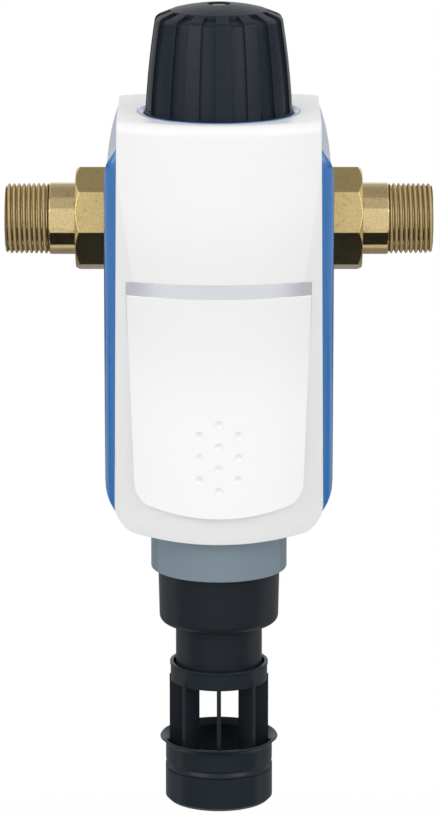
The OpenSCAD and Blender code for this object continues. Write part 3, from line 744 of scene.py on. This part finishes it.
    def _crest_radius(self, x: float, radius: float, angle: float) -> float:
        """Taper, notch and fade the thread's crests.

        Args:
            x: place along the pipe.
            radius: the plain radius.
            angle: angle round the pipe.

        Returns:
            The new radius.
        """
        share = max(0.0, (radius - self.root_r) / (self.crest_r - self.root_r))
        tooth = round(angle / math.tau * self.thread_steps)
        wave = self.notch_wave * math.sin(tooth * self.notch_beat)
        notch = (self.notch if tooth % 2 == 0 else 0.0) + wave
        lowered = (x - self.x_thread) * self.taper + max(0.0, notch)
        fade = min(1.0, max(0.0, (self.x_end + self.fade_start - x) / self.fade_reach))
        return radius - share * lowered - share * (1 - fade) * self.fade_deep

    def build(self, shop: Workshop) -> None:
        """Build the tailpiece and dress the nut and gasket.

        Args:
            shop: the workshop.
        """
        name = self.side.name.lower()
        body = self._body()
        self._settle(body)
        shop.piece(f"tailpiece_{name}_turned", body, "turned_brass", Body.HOUSING.value, "brass",
                   (f"tailpiece_{name}",), smooth=14.0)
        thread = self._thread()
        self._settle(thread)
        shop.piece(f"tailpiece_{name}_thread", thread, "thread_brass", Body.HOUSING.value, "brass",
                   smooth=28.0)
        shop.dress_nodes({f"union_nut_{name}": "cast_brass", f"union_gasket_{name}": "seal_rubber"})


@dataclass
class CoverSet:
    """White saddle cover with its panel and strip, and the blue rear cover."""

    seam: float = 0.12 * MM
    shelf_z: float = 322.7 * MM
    deck_z: float = 325.0 * MM
    ring_edge: tuple[Point, ...] = ((-0.7 * MM, 34.3 * MM), (0.1 * MM, 35.4 * MM), (0.4 * MM, 36.2 * MM),
                                    (0.3 * MM, 36.7 * MM), (0.0, 36.9 * MM))
    ring_steps: int = 160
    front_y: float = -44.0 * MM
    front_r: float = 90.0 * MM
    dimple_edge: float = 0.02 * MM
    dimple_limit: float = 1.0 * MM
    dimple_deep: float = 1.6
    back_y: float = 40.0 * MM
    split_y: float = -19.0 * MM
    side_x: float = 40.0 * MM
    shoulder_z: float = 302.0 * MM
    shoulder_lean: float = 15.0 * MM
    shoulder_rise: float = 10.0 * MM
    shoulder_cut: float = 3.6 * MM
    cut_heights: range = range(292, 322, 3)
    cut_depths: range = range(-12, 40, 8)

    def build(self, shop: Workshop) -> None:
        """Dress the covers.

        Args:
            shop: the workshop.
        """
        shop.dress_nodes({"front_cover": "white_moulding", "cover_nut": "head_moulding"})
        shop.piece("rear_cover_shell", self._shell(shop), "blue_moulding", Body.HOUSING.value,
                   "blue_plastic", ("rear_cover",))
        for node, finish, slot in (("front_panel", "panel_moulding", "white_plastic"),
                                   ("trim_strip", "silver_coating", "silver_trim")):
            shop.piece(f"{node}_face", self._eased(shop, node), finish, Body.HOUSING.value, slot, (node,))
        shop.piece("deck_ring", self._ring(), "blue_moulding", Body.HOUSING.value, "blue_plastic",
                   smooth=40.0)

    def _ring(self) -> bmesh.types.BMesh:
        """Blue ring that stands on the shelf and edges the knob's opening.

        Returns:
            The ring's mesh.
        """
        inner_r, outer_r = self.ring_edge[0][1], self.ring_edge[-1][1]
        edge = [(self.deck_z + rise, r) for rise, r in self.ring_edge]
        bm = lathe([(self.shelf_z, inner_r), *edge, (self.shelf_z, outer_r)], self.ring_steps)
        stand(bm)
        return bm

    def _shell(self, shop: Workshop) -> bmesh.types.BMesh:
        """Copy the blue cover and draw the front of its shoulders in, so that they face forwards a little.

        Args:
            shop: the workshop.

        Returns:
            The reshaped mesh.
        """
        bm = shop.copy("rear_cover")
        cuts = [((0, 0, z * MM), (0, 0, 1)) for z in self.cut_heights]
        cuts += [((0, y * MM, 0), (0, 1, 0)) for y in self.cut_depths]
        for place, normal in cuts:
            bmesh.ops.bisect_plane(bm, geom=bm.verts[:] + bm.edges[:] + bm.faces[:], dist=TOUCH,
                                   plane_co=place, plane_no=normal)
        for vert in bm.verts:
            back = min(1.0, max(0.0, (vert.co.y - self.split_y) / (self.back_y - self.split_y)))
            rise = (vert.co.z - self.shoulder_z + self.shoulder_lean * back) / self.shoulder_rise
            share = min(1.0, max(0.0, rise))
            drawn_in = self.shoulder_cut * share * share * (3 - 2 * share) * (1 - back)
            if abs(vert.co.x) > self.side_x:
                vert.co.x -= math.copysign(drawn_in, vert.co.x)
        return bm

    def _eased(self, shop: Workshop, node: str) -> bmesh.types.BMesh:
        """Copy a let-in piece, ease it out until it meets its recess, and deepen the panel's dimples.

        Args:
            shop: the workshop.
            node: the CAD node.

        Returns:
            The eased mesh.
        """
        bm = shop.copy(node)
        low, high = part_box(node)
        middle = (Vector(low) + Vector(high)) / 2
        size = Vector(high) - Vector(low)
        grow = (1 + 2 * self.seam / size.x, 1.0, 1 + 2 * self.seam / size.z)
        bmesh.ops.scale(bm, vec=grow, space=Matrix.Translation(-middle), verts=bm.verts)
        for vert in bm.verts:
            depth = vert.co.y - self.front_y - self.front_r + math.sqrt(self.front_r ** 2 - vert.co.x ** 2)
            if node == "front_panel" and self.dimple_edge < depth < self.dimple_limit:
                vert.co.y += depth * (self.dimple_deep - 1)
        return bm


@dataclass
class KnobSet:
    """Fluted knob with its screw and the spindle below it."""

    shank_r: float = 2.5 * MM
    head_r: float = 4.6 * MM
    head_h: float = 4.0 * MM
    head_top: float = 373.3 * MM
    rim: float = 0.6 * MM
    socket_r: float = 2.5 * MM
    socket_edge: float = 0.3 * MM
    socket_deep: float = 2.6 * MM
    slack: float = 0.05 * MM
    screw_steps: int = 72

    def build(self, shop: Workshop) -> None:
        """Dress the knob.

        Args:
            shop: the workshop.
        """
        shop.dress_nodes({"knob": "knob_moulding", "spindle": "turned_brass", "stop_pin": "plain_steel"})
        shop.piece("knob_screw_turned", self._screw(), "bronze_screw", Body.TURNING.value, "steel",
                   ("knob_screw",), smooth=35.0)

    def _screw(self) -> bmesh.types.BMesh:
        """Cap screw with a rounded rim and a hexagon socket.

        Returns:
            The screw's mesh.
        """
        low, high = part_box("knob_screw")
        seat, top, floor = high.z - self.head_h, self.head_top, self.head_top - self.socket_deep
        profile = [
            (low.z, 0.0), (low.z, self.shank_r), (seat, self.shank_r), (seat, self.head_r),
            (top - self.rim, self.head_r), (top - self.rim / 4, self.head_r - self.rim / 3),
            (top, self.head_r - self.rim), (top, self.socket_r + self.socket_edge),
            (top - self.socket_edge, self.socket_r), (floor, self.socket_r), (floor, 0.0)]
        bm = lathe(profile, self.screw_steps, closed=False)
        reshape(bm, self._socket_radius)
        stand(bm)
        return bm

    def _socket_radius(self, x: float, radius: float, angle: float) -> float:
        """Draw the socket's wall out to a hexagon.

        Args:
            x: place along the screw.
            radius: the plain radius.
            angle: angle round the screw.

        Returns:
            The new radius.
        """
        if x < self.head_top - self.socket_deep - self.slack or radius > self.socket_r + self.slack:
            return radius
        off = (angle + math.pi / 6) % (math.pi / 3) - math.pi / 6
        return radius / math.cos(off)


@dataclass
class DrainColumn:
    """Bowl, label ring and air-gap drain below the covers."""

    def build(self, shop: Workshop) -> None:
        """Dress the column.

        Args:
            shop: the workshop.
        """
        shop.dress_nodes({"filter_bowl": "black_moulding", "label_ring": "label_grey",
                          "drain_cage": "drain_moulding", "lock_ring": "head_moulding"})


@dataclass
class InnerWorks:
    """Everything that the covers and the bowl hide."""

    def build(self, shop: Workshop) -> None:
        """Dress the inner works.

        Args:
            shop: the workshop.
        """
        groups = {
            "head_moulding": ("bonnet", "filter_head", "mesh_support"),
            "steel_gauze": ("filter_mesh",),
            "rotor_moulding": ("suction_rotor",),
            "seal_rubber": ("suction_nozzles", "bonnet_seal", "spindle_seals", "flange_gasket", "bowl_seal",
                            "support_seal", "plug_seal"),
            "plain_steel": ("flange_bolts", "flange_washers", "guide_pins"),
            "cast_brass": ("connection_module",),
            "turned_brass": ("drain_seat", "drain_plug"),
        }
        shop.dress_nodes({node: finish for finish, nodes in groups.items() for node in nodes})


@dataclass
class Studio:
    """Camera, soft lamps, pale floor and white surroundings."""

    eye: Spot = (0.0005, -2.0, 0.6555)
    aim: Spot = (0.0005, 0.0, 0.1866)
    lamp_aim: Spot = (0.0, 0.0, 0.2)
    focal_px: float = 4449.0
    frame_h: float = 814.0
    sensor: float = 36.0
    floor_z: float = -0.30
    floor_half: float = 6.0
    floor_tone: Colour = (0.92, 0.92, 0.92)
    white: Colour = (1.0, 1.0, 1.0)
    shade_reach: float = 0.5
    ambient: float = 0.62

    def camera(self) -> None:
        """Put the camera where the photograph was taken from."""
        data = bpy.data.cameras.new("viewpoint")
        data.sensor_width = self.sensor
        data.lens = self.focal_px / self.frame_h * self.sensor
        data.clip_end = 50.0
        made = bpy.data.objects.new("viewpoint", data)
        made.location = self.eye
        made.rotation_mode = "QUATERNION"
        made.rotation_quaternion = (Vector(self.aim) - Vector(self.eye)).to_track_quat("-Z", "Y")
        bpy.context.scene.collection.objects.link(made)
        bpy.context.scene.camera = made

    def lamp(self, name: str, place: Spot, size: Point, power: float) -> bpy.types.Object:
        """Add a soft rectangular lamp that faces the object.

        Args:
            name: the lamp's name.
            place: where it stands.
            size: its width and height.
            power: its power in watts.

        Returns:
            The lamp.
        """
        data = bpy.data.lights.new(name, "AREA")
        data.shape = "RECTANGLE"
        data.size, data.size_y = size
        data.energy = power
        made = bpy.data.objects.new(name, data)
        made.location = place
        made.rotation_mode = "QUATERNION"
        made.rotation_quaternion = (Vector(self.lamp_aim) - Vector(place)).to_track_quat("-Z", "Y")
        bpy.context.scene.collection.objects.link(made)
        return made

    def card(self, name: str, place: Spot, size: Point, tone: float, facing: Facing) -> None:
        """Add a grey card that only reflections see, as beside a camera in a studio.

        Args:
            name: the card's name.
            place: the middle of the card.
            size: its half width and half depth, or half height if it stands.
            tone: how bright reflections see it, against the white surroundings.
            facing: how the card stands.
        """
        bm = bmesh.new()
        bmesh.ops.create_grid(bm, x_segments=1, y_segments=1, size=1.0)
        bmesh.ops.scale(bm, vec=(*size, 1.0), verts=bm.verts)
        turns = {Facing.LEVEL: "", Facing.FRONT: "X", Facing.SIDEWAYS: "XZ"}[facing]
        for axis in turns:
            quarter = Matrix.Rotation(math.pi / 2, 3, axis)
            bmesh.ops.rotate(bm, cent=(0, 0, 0), matrix=quarter, verts=bm.verts)
        bmesh.ops.translate(bm, vec=place, verts=bm.verts)
        made = add_object(name, bm)
        material, maker = start_material(name)
        dull = maker.make("ShaderNodeEmission", None, {"Color": self.white, "Strength": tone})
        maker.make("ShaderNodeOutputMaterial", None, {"Surface": dull.outputs[0]})
        made.data.materials.append(material)
        for ray in ("camera", "diffuse", "shadow", "transmission"):
            setattr(made, f"visible_{ray}", False)

    def surroundings(self) -> None:
        """White to the camera and in reflections, plain soft fill elsewhere."""
        world = bpy.data.worlds.new("surroundings")
        bpy.context.scene.world = world
        world.use_nodes = True
        maker = NodeMaker(world.node_tree)
        path = maker.make("ShaderNodeLightPath")
        seen = Value(maker, path.outputs["Is Camera Ray"])
        for ray in ("Is Glossy Ray", "Is Transmission Ray"):
            seen = seen.largest(Value(maker, path.outputs[ray]))
        strength = seen * (1.0 - self.ambient) + self.ambient
        back = maker.make("ShaderNodeBackground", None, {"Color": self.white, "Strength": strength})
        maker.make("ShaderNodeOutputWorld", None, {"Surface": back.outputs[0]})

    def floor(self) -> None:
        """Pale floor well below the drain, as the filter hangs in its pipe."""
        bm = bmesh.new()
        bmesh.ops.create_grid(bm, x_segments=1, y_segments=1, size=self.floor_half)
        bmesh.ops.translate(bm, vec=(0, 0, self.floor_z), verts=bm.verts)
        made = add_object("pale_floor", bm)
        material, maker = start_material("pale_floor")
        path = maker.make("ShaderNodeLightPath")
        matt = maker.make("ShaderNodeBsdfDiffuse", None, {"Color": self.floor_tone})
        glow = maker.make("ShaderNodeEmission", None, {"Color": self.white, "Strength": 1.0})
        reach = maker.make("ShaderNodeVectorMath", {"operation": "LENGTH"}, {0: maker.place()})
        far = maker.climb(reach.outputs["Value"], self.shade_reach, 2 * self.shade_reach)
        seen = Value(maker, path.outputs["Is Camera Ray"]) * far
        mixed = maker.make("ShaderNodeMixShader", None, {0: seen, 1: matt.outputs[0], 2: glow.outputs[0]})
        maker.make("ShaderNodeOutputMaterial", None, {"Surface": mixed.outputs[0]})
        made.data.materials.append(material)

    def build(self) -> None:
        """Set up the whole studio."""
        bpy.context.scene.view_settings.view_transform = "Standard"
        self.camera()
        self.lamp("key_left", (-1.45, -1.45, 1.2), (1.4, 1.6), 16.4)
        self.lamp("key_right", (1.45, -1.45, 1.2), (1.4, 1.6), 15.4)
        self.lamp("top", (0.0, 0.1, 1.7), (1.0, 1.0), 4.5).visible_glossy = False
        self.card("card_low", (0.0, -0.5, -0.2), (2.0, 0.48), 0.015, Facing.LEVEL)
        self.card("card_under", (0.0, 0.6, -0.2), (1.0, 0.47), 0.3, Facing.LEVEL)
        self.card("card_front", (0.0, -0.66, 1.32), (0.9, 0.47), 0.64, Facing.LEVEL)
        self.card("card_high", (0.0, 0.36, 1.3), (0.9, 0.56), 0.41, Facing.LEVEL)
        self.card("card_back", (0.0, 1.1, -0.0475), (1.0, 0.0925), 0.03, Facing.FRONT)
        self.card("card_rim", (0.0, 1.5, 1.53), (0.7, 0.62), 0.55, Facing.FRONT)
        self.card("card_left", (-1.3, -1.0, 0.05), (0.5, 0.3), 0.55, Facing.SIDEWAYS)
        self.card("card_right", (1.3, -1.0, 0.05), (0.5, 0.3), 0.5, Facing.SIDEWAYS)
        for side in (-1, 1):
            self.card(f"card_knob_{side}", (1.3 * side, 0.5, 0.36), (1.1, 0.14), 0.04, Facing.SIDEWAYS)
        self.surroundings()
        self.floor()


def main() -> None:
    """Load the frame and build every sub-assembly."""
    logging.basicConfig(level=logging.INFO, format="%(name)s: %(message)s")
    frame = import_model()
    shop = Workshop(Palette(), frame["nodes"])
    Studio().build()
    for assembly in (CoverSet(), KnobSet(), PipeUnion(Side.INLET), PipeUnion(Side.OUTLET), DrainColumn(),
                     InnerWorks()):
        assembly.build(shop)
        LOG.info("%s done", type(assembly).__name__)


if __name__ == "__main__":
    main()
